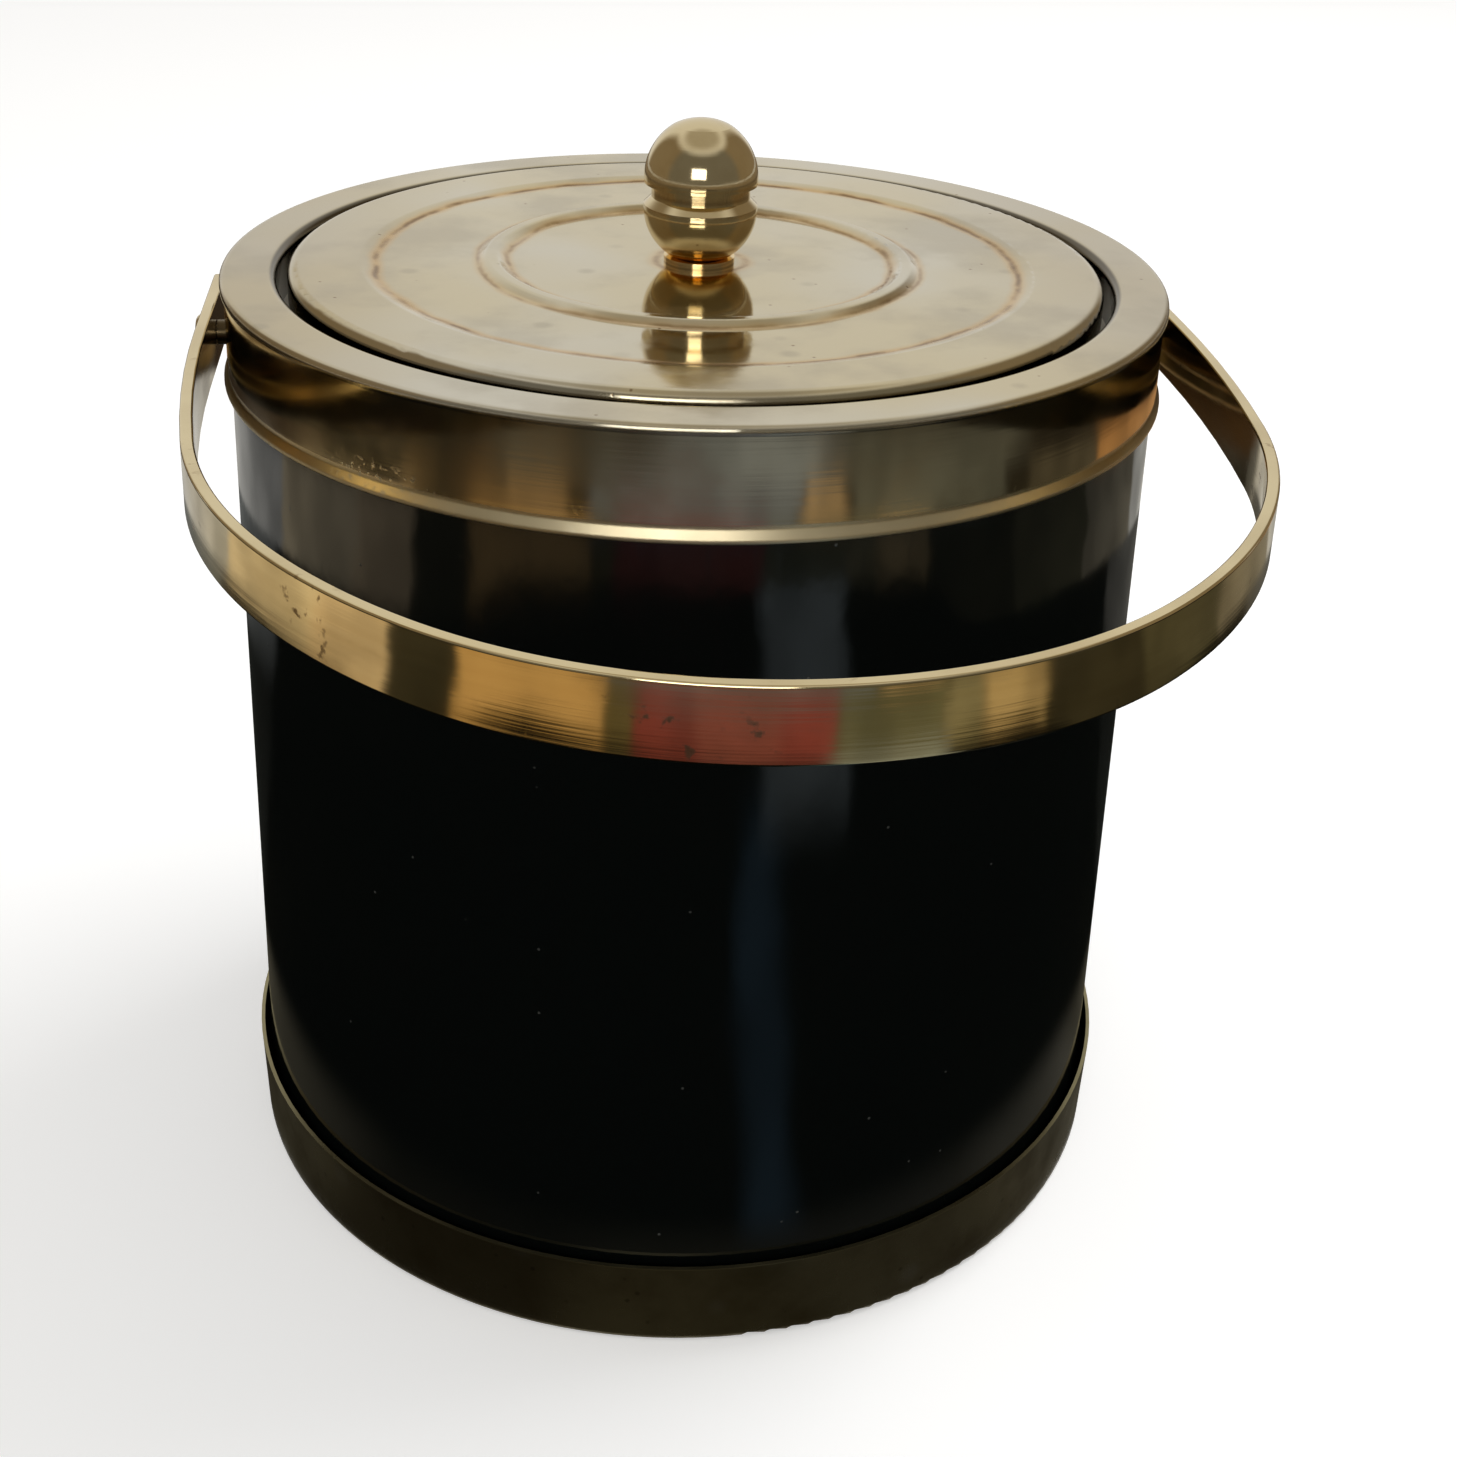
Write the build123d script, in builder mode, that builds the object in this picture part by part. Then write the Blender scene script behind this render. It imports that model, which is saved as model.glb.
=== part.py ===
"""Ice bucket: lacquered body with brass bands, lift-off lid and swinging strap handle.

Millimetres, +Z up. The origin is on the table at the centre of the base. The handle's pivots
lie along X, and the handle reaches forward over -Y.
"""
from build123d import *
from math import cos, radians, sin, sqrt
import os

# ---- body ----
body_height = 202.5       # table to the top of the rim ring
sleeve_r = 98.6           # outside of the lacquered tube
sleeve_wall = 0.8

pan_height = 19.6
pan_wall = 0.8
pan_gap = 0.6             # dark line between pan and sleeve
pan_flare = 0.9           # how much wider the pan is at its lip
dish_height = 4.0         # raised middle of the pan, clear of the table
dish_r = 64.0
dish_slope = 4.0          # width of the sloping wall round the dish
dish_fold_r = 1.5

# ---- rim: band round the sleeve, ring on top ----
band_gap = 0.1
band_wall = 0.6
bead_clearance = 1.7      # pivot spacers to the bead under them
bead_swell = 0.8          # how far the flared bead stands out of the band
bead_height = 2.6
bead_hem = 0.9            # upright foot of the bead, under its slope
bead_soft_r = 0.35
ring_wall = 0.6
ring_width = 11.5         # outer edge to the mouth
ring_lip = 1.9            # height of the lip that hooks over the band
lip_gap = 0.1
lip_soft_r = 1.2
mouth_soft_r = 2.0

# ---- liner and insulation ----
flange_clearance = 0.2    # pivot burrs to the underside of the liner's flange
flange_wall = 1.8
ledge_width = 8.5         # what the lid rests on
liner_wall = 2.2
liner_floor = 2.4
liner_taper = 3.5         # how much narrower the floor is than the mouth
liner_lift = 23.6         # table to the liner's underside
liner_corner_r = 12.0
boss_r = 7.0
foam_gap = 0.3
foam_drop = 24.5          # top of the rim ring to the top of the foam

# ---- tie screw that holds the pan to the liner ----
tie_r = 2.5
tie_clearance = 0.05
insert_wall = 1.05
insert_length = 10.0
sheet_hole_clearance = 0.25  # screws through the pan and the lid
tie_washer_r = 6.0
tie_washer_wall = 0.8
tie_head_r = 4.2
tie_head_height = 2.2
tie_reach = 9.0           # how far the screw goes into the insert
cross_slot_length = 5.0
cross_slot_width = 1.0

# ---- handle and its pivots ----
pivot_drop = 15.3         # top of the rim ring to the pivot line
strap_width = 13.2
strap_wall = 2.4
strap_clearance = 1.5     # strap to the bead as it swings past
strap_tail = 21.0         # end of the strap, behind the pivot
strap_straight = 17.0     # pivot to the first bend
shoulder_bend_r = 430.0
shoulder_bend = 8.0       # degrees
side_bend_r = 120.0
side_bend = 40.6
strap_droop = 0.7         # degrees below level, as it stands at rest
strap_corner_r = 1.6
strap_edge_r = 0.5
rivet_r = 1.6
rivet_clearance = 0.06
rivet_head_r = 3.9
rivet_head_height = 1.7
rivet_dome_r = 1.5
rivet_play = 0.15         # each side of the strap, along the pivot
spacer_r = 2.6
burr_r = 2.9
burr_wall = 0.8
clench_r = 2.4
clench_height = 1.2

# ---- lid ----
lid_gap = 2.1             # between lid and mouth, all round
lid_rest = 0.3            # lid to ledge
lid_wall = 0.7
lid_rise = 0.2            # middle of the lid above the rim ring
lid_border = 16.4         # width of the raised outer border
lid_border_rise = 0.8
lid_slope = 3.0           # width of the slope up to the border
slope_soft_r = 2.4
lid_edge_r = 2.2
ridge_r = 44.2            # middle of the round ridge
ridge_width = 6.0
ridge_crown = 2.2
ridge_height = 1.3
lid_soft_r = 1.2
plug_gap = 1.3            # between plug and liner
plug_wall = 1.8
plug_depth = 11.0         # below the ledge
plug_corner_r = 6.0
plug_fit = 0.1
lid_foam_gap = 0.4

# ---- knob ----
foot_r = 7.6
foot_height = 1.3
neck_r = 6.0
knob_r = 12.1             # widest, at both halves
bowl_height = 11.3        # foot to the edge of the lower half
bowl_mid_inset = 2.8      # in from knob_r
bowl_mid_height = 2.7
groove_depth = 1.6
ledge_rise = 1.6
dome_start = 15.9         # foot to the edge of the upper half
dome_mid_inset = 0.9      # in from knob_r
dome_mid_height = 21.8
facet_r = 6.1
facet_height = 28.0
crown_height = 29.5
knob_screw_r = 2.0
knob_screw_clearance = 0.05
knob_screw_reach = 8.0
knob_hole_depth = 10.0
knob_screw_head_r = 3.8
knob_screw_head_height = 2.2
knob_washer_r = 6.5
knob_washer_wall = 0.8
head_pocket_r = 8.5
head_pocket_depth = 5.0

# ---- worked out from the values above ----
sleeve_bottom = pan_wall
sleeve_inner_r = sleeve_r - sleeve_wall
pan_r = sleeve_r + pan_gap + pan_wall
dish_top = dish_height + pan_wall
band_inner_r = sleeve_r + band_gap
band_r = band_inner_r + band_wall
pivot_z = body_height - pivot_drop
band_bottom = pivot_z - spacer_r - bead_clearance - bead_height
bead_r = band_r + bead_swell
lip_inner_r = band_r + lip_gap
ring_r = lip_inner_r + ring_wall
mouth_r = ring_r - ring_width
band_top = body_height - lip_soft_r
sleeve_top = pivot_z + burr_r + flange_clearance
flange_top = sleeve_top + flange_wall
strap_centre = bead_r + strap_clearance + strap_wall / 2
pin_hole_r = rivet_r + rivet_clearance

lid_r = mouth_r - lid_gap
liner_mouth_r = lid_r - ledge_width
liner_floor_r = liner_mouth_r - liner_taper
liner_floor_top = liner_lift + liner_floor
foam_r = sleeve_inner_r - foam_gap
foam_top = body_height - foam_drop
insert_r = tie_r + tie_clearance + insert_wall

lid_seat = flange_top + lid_rest
lid_top = body_height + lid_rise
lid_underside = lid_top - lid_wall
border_inner_r = lid_r - lid_border
plug_r = liner_mouth_r - plug_gap
plug_bottom = flange_top - plug_depth
plug_floor_top = plug_bottom + plug_wall
plug_inner_r = plug_r - plug_wall
knob_base = lid_top + foot_height
knob_bore_r = knob_screw_r + knob_screw_clearance
bowl_mid_r = knob_r - bowl_mid_inset
groove_r = knob_r - groove_depth
dome_mid_r = knob_r - dome_mid_inset

os.makedirs("parts", exist_ok=True)


def save(builder, node):
    """Label a finished piece and write it to its own file."""
    builder.part.label = node
    export_step(builder.part, f"parts/{node}.step")


def folded_sheet(points, radii, wall, side):
    """Section of a sheet: a line with rounded folds, thickened to one side."""
    with BuildSketch() as section:
        with BuildLine():
            FilletPolyline(*points, radius=radii)
            offset(amount=wall, side=side)
        make_face()
    return section.sketch


def washer(plane, outer_r, inner_r, wall):
    """Flat ring that starts on the plane and grows along its normal."""
    with BuildPart() as ring:
        with BuildSketch(plane):
            Circle(outer_r)
            Circle(inner_r, mode=Mode.SUBTRACT)
        extrude(amount=wall)
    return ring


# ---- base pan: a drawn pan with a raised middle ----
pan_fold_r = pan_wall + pan_gap
pan_outline = [
    (pan_r + pan_flare, pan_height),
    (pan_r, 0),
    (dish_r + dish_slope, 0),
    (dish_r, dish_height),
    (tie_r + sheet_hole_clearance, dish_height),
]
with BuildPart() as base_pan:
    with BuildSketch(Plane.XZ):
        add(folded_sheet(pan_outline, [pan_fold_r, dish_fold_r, dish_fold_r], pan_wall, Side.RIGHT))
    revolve(axis=Axis.Z)
save(base_pan, "base_pan")

# ---- outer sleeve: the lacquered tube, drilled for the two pivots ----
with BuildPart() as outer_sleeve:
    with BuildSketch(Plane.XY.offset(sleeve_bottom)):
        Circle(sleeve_r)
        Circle(sleeve_inner_r, mode=Mode.SUBTRACT)
    extrude(amount=sleeve_top - sleeve_bottom)
    with BuildSketch(Plane.YZ):
        with Locations((0, pivot_z)):
            Circle(pin_hole_r)
    extrude(amount=ring_r, both=True, mode=Mode.SUBTRACT)
save(outer_sleeve, "outer_sleeve")

# ---- collar band: wraps the top of the sleeve, its lower edge flared into a bead ----
with BuildPart() as collar_band:
    with BuildSketch(Plane.XZ):
        with BuildLine():
            Polyline(
                (band_inner_r, band_bottom),
                (bead_r, band_bottom),
                (bead_r, band_bottom + bead_hem),
                (band_r, band_bottom + bead_height),
                (band_r, band_top),
                (band_inner_r, band_top),
                close=True,
            )
        make_face()
    revolve(axis=Axis.Z)
    bead_edges = collar_band.edges().filter_by(GeomType.CIRCLE).filter_by(
        lambda edge: abs(edge.radius - bead_r) < 0.01
    )
    fillet(bead_edges, radius=bead_soft_r)
    with BuildSketch(Plane.YZ):
        with Locations((0, pivot_z)):
            Circle(pin_hole_r)
    extrude(amount=ring_r, both=True, mode=Mode.SUBTRACT)
save(collar_band, "collar_band")

# ---- rim ring: flat top, a lip over the band and a rounded turn-down into the mouth ----
ring_outline = [
    (ring_r, body_height - ring_lip),
    (ring_r, body_height),
    (mouth_r, body_height),
    (mouth_r, flange_top),
]
with BuildPart() as rim_ring:
    with BuildSketch(Plane.XZ):
        add(folded_sheet(ring_outline, [lip_soft_r, mouth_soft_r], ring_wall, Side.LEFT))
    revolve(axis=Axis.Z)
save(rim_ring, "rim_ring")

# ---- liner: moulded inner bucket, hung by its flange, with a boss for the tie screw ----
with BuildPart() as liner:
    with BuildSketch(Plane.XZ):
        with BuildLine():
            Polyline(
                (0, liner_lift),
                (liner_floor_r + liner_wall, liner_lift),
                (liner_mouth_r + liner_wall, sleeve_top),
                (sleeve_r, sleeve_top),
                (sleeve_r, flange_top),
                (liner_mouth_r, flange_top),
                (liner_floor_r, liner_floor_top),
                (0, liner_floor_top),
                close=True,
            )
        make_face()
    revolve(axis=Axis.Z)
    floor_edges = liner.edges().filter_by(GeomType.CIRCLE)
    inner_corner = floor_edges.filter_by(lambda edge: abs(edge.radius - liner_floor_r) < 0.01)
    outer_corner = floor_edges.filter_by(
        lambda edge: abs(edge.radius - liner_floor_r - liner_wall) < 0.01
    )
    fillet(inner_corner, radius=liner_corner_r)
    fillet(outer_corner, radius=liner_corner_r + liner_wall)
    with BuildSketch(Plane.XY.offset(dish_top)):
        Circle(boss_r)
    extrude(amount=liner_lift - dish_top)
    with BuildSketch(Plane.XY.offset(dish_top)):
        Circle(insert_r + tie_clearance)
    extrude(amount=insert_length + tie_clearance, mode=Mode.SUBTRACT)
save(liner, "liner")

# ---- foam under the liner, resting on the pan's raised middle ----
insulation_disc = washer(
    Plane.XY.offset(dish_top), foam_r, boss_r + foam_gap, liner_lift - dish_top
)
save(insulation_disc, "insulation_disc")

# ---- foam round the liner, following its taper ----
taper_per_mm = liner_taper / (flange_top - liner_floor_top)
foam_bore_top_r = liner_mouth_r + liner_wall + foam_gap - taper_per_mm * (flange_top - foam_top)
foam_bore_bottom_r = liner_floor_r + liner_wall + foam_gap
with BuildPart() as insulation_jacket:
    with BuildSketch(Plane.XZ):
        with BuildLine():
            Polyline(
                (foam_bore_bottom_r, liner_lift),
                (foam_r, liner_lift),
                (foam_r, foam_top),
                (foam_bore_top_r, foam_top),
                close=True,
            )
        make_face()
    revolve(axis=Axis.Z)
save(insulation_jacket, "insulation_jacket")

# ---- tie insert, washer and screw: hold the pan up against the liner's boss ----
tie_insert = washer(Plane.XY.offset(dish_top), insert_r, tie_r + tie_clearance, insert_length)
save(tie_insert, "tie_insert")

tie_washer = washer(
    Plane.XY.offset(dish_height - tie_washer_wall),
    tie_washer_r,
    tie_r + sheet_hole_clearance,
    tie_washer_wall,
)
save(tie_washer, "tie_washer")

tie_head_top = dish_height - tie_washer_wall
with BuildPart() as tie_screw:
    with BuildSketch(Plane.XY.offset(tie_head_top)):
        Circle(tie_head_r)
    extrude(amount=-tie_head_height)
    fillet(tie_screw.edges().group_by(Axis.Z)[0], radius=tie_head_height / 2)
    with BuildSketch(Plane.XY.offset(tie_head_top)):
        Circle(tie_r)
    extrude(amount=dish_top - tie_head_top + tie_reach)
    with BuildSketch(Plane.XY.offset(tie_head_top - tie_head_height)):
        Rectangle(cross_slot_length, cross_slot_width)
        Rectangle(cross_slot_width, cross_slot_length)
    extrude(amount=tie_head_height / 2, mode=Mode.SUBTRACT)
save(tie_screw, "tie_screw")


# ---- handle strap: one flat bar, bent to a bow and drilled at both ends ----
def strap_side(shift):
    """Right-hand half of the bow, shifted outwards from its middle line."""
    with BuildLine() as side:
        arm = Line(
            (strap_centre + shift, strap_tail),
            (strap_centre + shift, -strap_straight),
        )
        shoulder = JernArc(arm @ 1, arm % 1, shoulder_bend_r + shift, -shoulder_bend)
        flank = JernArc(shoulder @ 1, shoulder % 1, side_bend_r + shift, -side_bend)
        turned = shoulder_bend + side_bend
        front_r = (flank @ 1).X / cos(radians(turned))
        JernArc(flank @ 1, flank % 1, front_r, turned - 90)
    return side.line


strap_plane = Plane(
    origin=(0, 0, pivot_z),
    x_dir=(1, 0, 0),
    z_dir=(0, -sin(radians(strap_droop)), cos(radians(strap_droop))),
)
with BuildPart() as handle_strap:
    with BuildSketch(strap_plane):
        with BuildLine():
            add(strap_side(strap_wall / 2))
            add(strap_side(-strap_wall / 2))
            Line(
                (strap_centre - strap_wall / 2, strap_tail),
                (strap_centre + strap_wall / 2, strap_tail),
            )
            mirror(about=Plane.YZ)
        make_face()
    extrude(amount=strap_width / 2, both=True)
    end_corners = handle_strap.edges().filter_by(Axis.X).group_by(Axis.Y)[-1]
    fillet(end_corners, radius=strap_corner_r)
    fillet(handle_strap.faces().filter_by(strap_plane).edges(), radius=strap_edge_r)
    with BuildSketch(Plane.YZ):
        with Locations((0, pivot_z)):
            Circle(pin_hole_r)
    extrude(amount=strap_centre + strap_wall, both=True, mode=Mode.SUBTRACT)
save(handle_strap, "handle_strap")

# ---- pivots: spacer, rivet and inner burr, the same on both sides ----
burr_seat = sqrt(sleeve_inner_r**2 - burr_r**2) - burr_wall
strap_outside = strap_centre + strap_wall / 2
strap_inside = strap_centre - strap_wall / 2
for side_name, sign in (("left", -1), ("right", 1)):
    outward = Plane(origin=(0, 0, pivot_z), x_dir=(0, 1, 0), z_dir=(sign, 0, 0))

    spacer = washer(
        outward.offset(band_r), spacer_r, pin_hole_r, strap_inside - rivet_play - band_r
    )
    save(spacer, f"pivot_spacer_{side_name}")

    burr = washer(outward.offset(burr_seat), burr_r, pin_hole_r, burr_wall)
    save(burr, f"pivot_burr_{side_name}")

    head_seat = strap_outside + rivet_play
    with BuildPart() as rivet:
        with BuildSketch(outward.offset(burr_seat)):
            Circle(rivet_r)
        extrude(amount=head_seat - burr_seat)
        with BuildSketch(outward.offset(head_seat)):
            Circle(rivet_head_r)
        extrude(amount=rivet_head_height)
        crown = rivet.edges().group_by(Axis.X)[-1 if sign > 0 else 0]
        fillet(crown, radius=rivet_dome_r)
        with BuildSketch(outward.offset(burr_seat)):
            Circle(clench_r)
        extrude(amount=-clench_height)
    save(rivet, f"pivot_rivet_{side_name}")

# ---- lid cover: pressed sheet with a round ridge, a raised border and a deep edge ----
border_top = lid_top + lid_border_rise
ridge_foot = ridge_width / 2
ridge_top = ridge_crown / 2
lid_outline = [
    (knob_screw_r + sheet_hole_clearance, lid_top),
    (ridge_r - ridge_foot, lid_top),
    (ridge_r - ridge_top, lid_top + ridge_height),
    (ridge_r + ridge_top, lid_top + ridge_height),
    (ridge_r + ridge_foot, lid_top),
    (border_inner_r - lid_slope / 2, lid_top),
    (border_inner_r + lid_slope / 2, border_top),
    (lid_r, border_top),
    (lid_r, lid_seat),
]
lid_folds = [lid_soft_r] * 4 + [lid_soft_r, slope_soft_r, lid_edge_r]
with BuildPart() as lid_cover:
    with BuildSketch(Plane.XZ):
        add(folded_sheet(lid_outline, lid_folds, lid_wall, Side.RIGHT))
    revolve(axis=Axis.Z)
save(lid_cover, "lid_cover")

# ---- lid liner: moulded plug that closes the underside ----
plug_flange_r = lid_r - lid_wall - plug_fit
with BuildPart() as lid_liner:
    with BuildSketch(Plane.XZ):
        with BuildLine():
            Polyline(
                (0, plug_bottom),
                (plug_r, plug_bottom),
                (plug_r, lid_seat),
                (plug_flange_r, lid_seat),
                (plug_flange_r, lid_seat + plug_wall),
                (plug_inner_r, lid_seat + plug_wall),
                (plug_inner_r, plug_floor_top),
                (0, plug_floor_top),
                close=True,
            )
        make_face()
    revolve(axis=Axis.Z)
    plug_edges = lid_liner.edges().filter_by(GeomType.CIRCLE).group_by(Axis.Z)
    fillet(plug_edges[1], radius=plug_corner_r - plug_wall)
    fillet(lid_liner.edges().filter_by(GeomType.CIRCLE).group_by(Axis.Z)[0], radius=plug_corner_r)
save(lid_liner, "lid_liner")

# ---- lid insulation: foam block with a pocket round the knob screw's head ----
with BuildPart() as lid_insulation:
    with BuildSketch(Plane.XY.offset(plug_floor_top)):
        Circle(plug_inner_r - lid_foam_gap)
    extrude(amount=lid_underside - lid_foam_gap - plug_floor_top)
    fillet(lid_insulation.edges().group_by(Axis.Z)[0], radius=plug_corner_r - plug_wall)
    with BuildSketch(Plane.XY.offset(lid_underside - lid_foam_gap)):
        Circle(head_pocket_r)
    extrude(amount=-head_pocket_depth, mode=Mode.SUBTRACT)
save(lid_insulation, "lid_insulation")

# ---- knob foot: the small ring that the knob stands on ----
knob_foot = washer(Plane.XY.offset(lid_top), foot_r, knob_bore_r, foot_height)
save(knob_foot, "knob_foot")

# ---- knob: two turned halves with a groove between them ----
with BuildPart() as knob:
    with BuildSketch(Plane.XZ):
        with BuildLine():
            Polyline(
                (0, knob_base + crown_height),
                (0, knob_base),
                (neck_r, knob_base),
            )
            ThreePointArc(
                (neck_r, knob_base),
                (bowl_mid_r, knob_base + bowl_mid_height),
                (knob_r, knob_base + bowl_height),
            )
            Polyline(
                (knob_r, knob_base + bowl_height),
                (groove_r, knob_base + bowl_height + ledge_rise),
                (groove_r, knob_base + dome_start),
                (knob_r, knob_base + dome_start),
            )
            ThreePointArc(
                (knob_r, knob_base + dome_start),
                (dome_mid_r, knob_base + dome_mid_height),
                (facet_r, knob_base + facet_height),
            )
            TangentArc(
                (0, knob_base + crown_height),
                (facet_r, knob_base + facet_height),
                tangent=(1, 0),
            )
        make_face()
    revolve(axis=Axis.Z)
    with BuildSketch(Plane.XY.offset(knob_base)):
        Circle(knob_bore_r)
    extrude(amount=knob_hole_depth, mode=Mode.SUBTRACT)
save(knob, "knob")

# ---- knob washer and screw: pull the knob down from inside the lid ----
knob_washer = washer(
    Plane.XY.offset(lid_underside - knob_washer_wall),
    knob_washer_r,
    knob_bore_r,
    knob_washer_wall,
)
save(knob_washer, "knob_washer")

knob_screw_seat = lid_underside - knob_washer_wall
with BuildPart() as knob_screw:
    with BuildSketch(Plane.XY.offset(knob_screw_seat)):
        Circle(knob_screw_head_r)
    extrude(amount=-knob_screw_head_height)
    fillet(knob_screw.edges().group_by(Axis.Z)[0], radius=knob_screw_head_height / 2)
    with BuildSketch(Plane.XY.offset(knob_screw_seat)):
        Circle(knob_screw_r)
    extrude(amount=knob_base - knob_screw_seat + knob_screw_reach)
save(knob_screw, "knob_screw")
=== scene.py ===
"""Ice bucket looks: the finishes, rim ring, strap handle and a plain studio round the frame.

Laid out as an add-on and run as a script. Lengths are in metres unless a name ends in _mm.
"""

from math import cos, pi, radians, sin

import bpy
from bpy.props import FloatProperty, FloatVectorProperty, IntProperty, PointerProperty
from mathutils import Euler, Matrix, Vector


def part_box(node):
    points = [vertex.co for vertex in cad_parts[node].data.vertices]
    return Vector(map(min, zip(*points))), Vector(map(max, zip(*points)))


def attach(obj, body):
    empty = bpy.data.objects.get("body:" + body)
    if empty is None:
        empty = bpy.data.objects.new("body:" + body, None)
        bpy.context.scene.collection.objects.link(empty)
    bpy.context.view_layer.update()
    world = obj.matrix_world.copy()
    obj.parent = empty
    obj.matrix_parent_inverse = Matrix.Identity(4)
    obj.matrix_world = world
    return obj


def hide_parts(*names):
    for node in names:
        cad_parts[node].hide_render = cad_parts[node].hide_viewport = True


bl_info = {
    "name": "Ice bucket looks",
    "version": (1, 0, 0),
    "blender": (4, 5, 0),
    "location": "3D View > Sidebar > Ice bucket",
    "description": "Finishes, rim ring, strap handle and studio for a lacquer and brass ice bucket",
    "category": "Object",
}

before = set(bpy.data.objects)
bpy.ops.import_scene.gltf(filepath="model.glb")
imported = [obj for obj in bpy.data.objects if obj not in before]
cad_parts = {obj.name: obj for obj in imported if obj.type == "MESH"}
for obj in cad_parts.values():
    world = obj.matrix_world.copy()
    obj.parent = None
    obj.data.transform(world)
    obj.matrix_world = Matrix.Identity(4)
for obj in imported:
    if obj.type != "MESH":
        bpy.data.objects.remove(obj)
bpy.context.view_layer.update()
MM = 0.001


# ---- small helpers ----
def linear(code):
    """sRGB hex colour as the linear RGBA that shader sockets hold."""
    parts = [int(code[i : i + 2], 16) / 255 for i in (1, 3, 5)]
    return [p / 12.92 if p <= 0.04045 else ((p + 0.055) / 1.055) ** 2.4 for p in parts] + [1.0]


def add_node(tree, kind, inputs=None, **settings):
    """Add a node with its settings; each input is a value, or a socket to link from."""
    node = tree.nodes.new(kind)
    for name, value in settings.items():
        setattr(node, name, value)
    for key, value in (inputs or {}).items():
        if isinstance(value, bpy.types.NodeSocket):
            tree.links.new(value, node.inputs[key])
        else:
            node.inputs[key].default_value = value
    return node


def per_mm(size_mm):
    """Texture scale for a pattern whose cells are this many millimetres across."""
    return 1 / (size_mm * MM)


def dress(material, *names):
    """Give CAD nodes their finish."""
    for name in names:
        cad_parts[name].material_slots[0].material = material


def paint(group, field):
    """A colour of the panel as RGBA."""
    return list(getattr(group, field)) + [1.0]


class Finish:
    """One material under way: its node tree and the patterns that its surface is built from."""

    def __init__(self, name):
        self.material = bpy.data.materials.new(name)
        self.material.use_nodes = True
        self.tree = self.material.node_tree
        self.tree.nodes.clear()
        self.place = add_node(self.tree, "ShaderNodeTexCoord").outputs["Object"]
        split = add_node(self.tree, "ShaderNodeSeparateXYZ", {0: self.place})
        self.x, self.y, self.z = split.outputs
        flat = add_node(self.tree, "ShaderNodeCombineXYZ", {0: self.x, 1: self.y})
        self.radius = add_node(
            self.tree, "ShaderNodeVectorMath", {0: flat.outputs[0]}, operation="LENGTH"
        ).outputs["Value"]

    def sum(self, operation, first, second):
        """Result of arithmetic on two numbers or sockets."""
        return add_node(
            self.tree, "ShaderNodeMath", {0: first, 1: second}, operation=operation
        ).outputs[0]

    def ramp(self, value, low, high, to_low=0.0, to_high=1.0, smooth=True):
        """Number that runs from to_low to to_high as value runs from low to high."""
        return add_node(
            self.tree,
            "ShaderNodeMapRange",
            {
                "Value": value,
                "From Min": low,
                "From Max": high,
                "To Min": to_low,
                "To Max": to_high,
            },
            interpolation_type="SMOOTHSTEP" if smooth else "LINEAR",
        ).outputs["Result"]

    def mottle(self, size_mm, low=0.4, high=0.6, detail=3.0, scale=(1, 1, 1), turn=(0, 0, 0)):
        """Soft blotches from 0 to 1, about size_mm across; scale stretches them into streaks."""
        mapped = add_node(
            self.tree, "ShaderNodeMapping", {"Vector": self.place, "Scale": scale, "Rotation": turn}
        )
        noise = add_node(
            self.tree,
            "ShaderNodeTexNoise",
            {"Vector": mapped.outputs[0], "Scale": per_mm(size_mm), "Detail": detail},
        )
        return self.ramp(noise.outputs["Fac"], low, high)

    def specks(self, size_mm, share, soft=0.35):
        """Scattered round specks, 1 inside one; share is the part of the cells that hold one."""
        cells = add_node(
            self.tree, "ShaderNodeTexVoronoi", {"Vector": self.place, "Scale": per_mm(size_mm)}
        )
        dot = self.ramp(cells.outputs["Distance"], soft, soft * 0.3)
        chosen = self.ramp(cells.outputs["Color"], share, share * 0.9)
        return self.sum("MULTIPLY", dot, chosen)

    def line(self, value, centre, half_width):
        """1 where value equals centre, falling to 0 at half_width to either side."""
        away = self.sum("ABSOLUTE", self.sum("SUBTRACT", value, centre), 0.0)
        return self.ramp(away, half_width, 0.0)

    def band(self, value, low, high, soft):
        """1 where value lies between low and high, with edges that fade over soft."""
        enters = self.ramp(value, low - soft, low + soft)
        leaves = self.ramp(value, high + soft, high - soft)
        return self.sum("MULTIPLY", enters, leaves)

    def tint(self, amount, first, second):
        """Colour between first and second."""
        return add_node(
            self.tree, "ShaderNodeMix", {0: amount, 6: first, 7: second}, data_type="RGBA"
        ).outputs[2]

    def rounded(self, radius_mm):
        """Normal evened out over small facets and sharp folds."""
        return add_node(
            self.tree, "ShaderNodeBevel", {"Radius": radius_mm * MM}, samples=4
        ).outputs["Normal"]

    def relief(self, *layers, normal=None):
        """Normal from stacked bumps: pairs of a pattern and its depth in millimetres."""
        for pattern, depth_mm in layers:
            inputs = {"Height": pattern, "Distance": depth_mm * MM}
            if normal is not None:
                inputs["Normal"] = normal
            normal = add_node(self.tree, "ShaderNodeBump", inputs).outputs["Normal"]
        return normal

    def shader(self, **inputs):
        """Close the material with its Principled shader; underscores in a name are spaces."""
        named = {name.replace("_", " "): value for name, value in inputs.items()}
        surface = add_node(self.tree, "ShaderNodeBsdfPrincipled", named)
        add_node(self.tree, "ShaderNodeOutputMaterial", {"Surface": surface.outputs[0]})
        return self.material


# ---- settings shown in the panel ----
def colour(name, description, code):
    """Colour setting with its sRGB default."""
    return FloatVectorProperty(
        name=name, description=description, subtype="COLOR", min=0, max=1, default=linear(code)[:3]
    )


def size(name, description, default_mm):
    """Length setting with its default in millimetres."""
    return FloatProperty(
        name=name, description=description, unit="LENGTH", min=0, default=default_mm * MM
    )


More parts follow.
